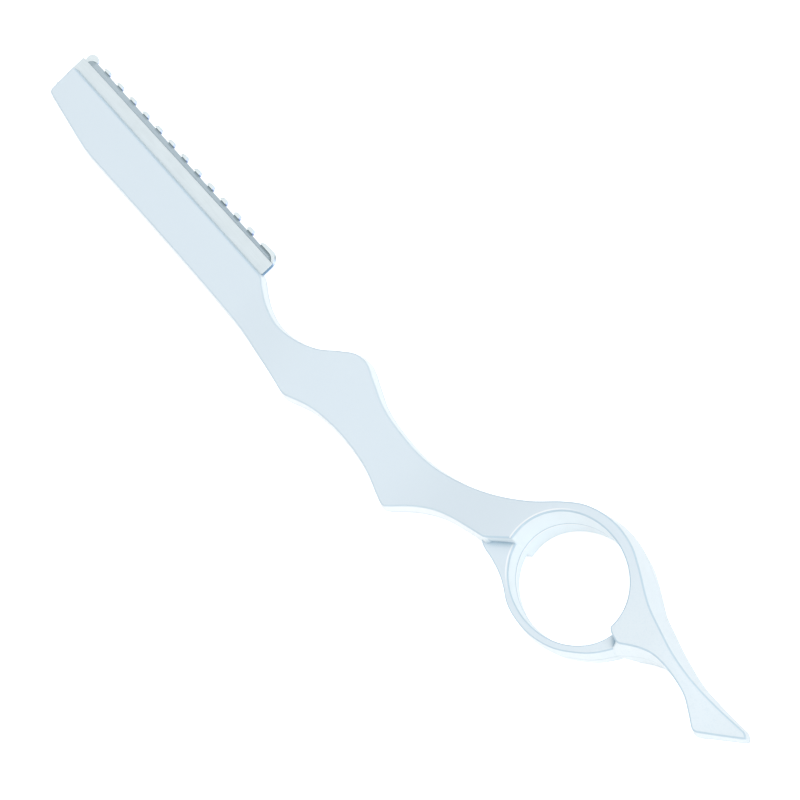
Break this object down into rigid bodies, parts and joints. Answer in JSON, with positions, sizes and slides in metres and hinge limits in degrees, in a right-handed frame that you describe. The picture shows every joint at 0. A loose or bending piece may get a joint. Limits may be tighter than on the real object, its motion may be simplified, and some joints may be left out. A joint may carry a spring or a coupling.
{
  "type": "hair thinning razor",
  "caption": "Slim hair thinning razor: two-shell moulded handle with finger grooves, deep finger ring and flared tail; a steel comb guard with its blade slides out of the head",
  "frame": {"origin": "under the middle of the razor's outline, on the plane that its back lies on", "axes": "+X from the head's tip to the tail, +Y to the cutting edge, +Z from the back face to the front face"},
  "size_m": [0.1998, 0.031, 0.0156],
  "materials": {
    "shell": "pale silver-blue moulded plastic with a fine pearl grain, satin",
    "guard": "bright nickel-plated steel sheet",
    "cover": "satin steel strip, brushed lengthwise",
    "blade": "ground blade steel, darker and sharper",
    "rivet": "plain steel",
    "spring": "tempered spring steel"
  },
  "bodies": {
    "handle": {"front_shell": "shell", "back_shell": "shell", "detent_spring": "spring"},
    "guard": {"comb_guard": "guard", "cover_plate": "cover", "guard_rivet_1": "rivet", "guard_rivet_2": "rivet", "guard_rivet_3": "rivet"},
    "blade": {"razor_blade": "blade"}
  },
  "joints": [
    {"name": "guard_slide", "type": "slide", "parent": "handle", "child": "guard", "axis": [-1, 0, 0], "range_m": [0, 0.06]},
    {"name": "blade_slide", "type": "slide", "parent": "guard", "child": "blade", "axis": [-1, 0, 0], "range_m": [0, 0.058]}
  ]
}
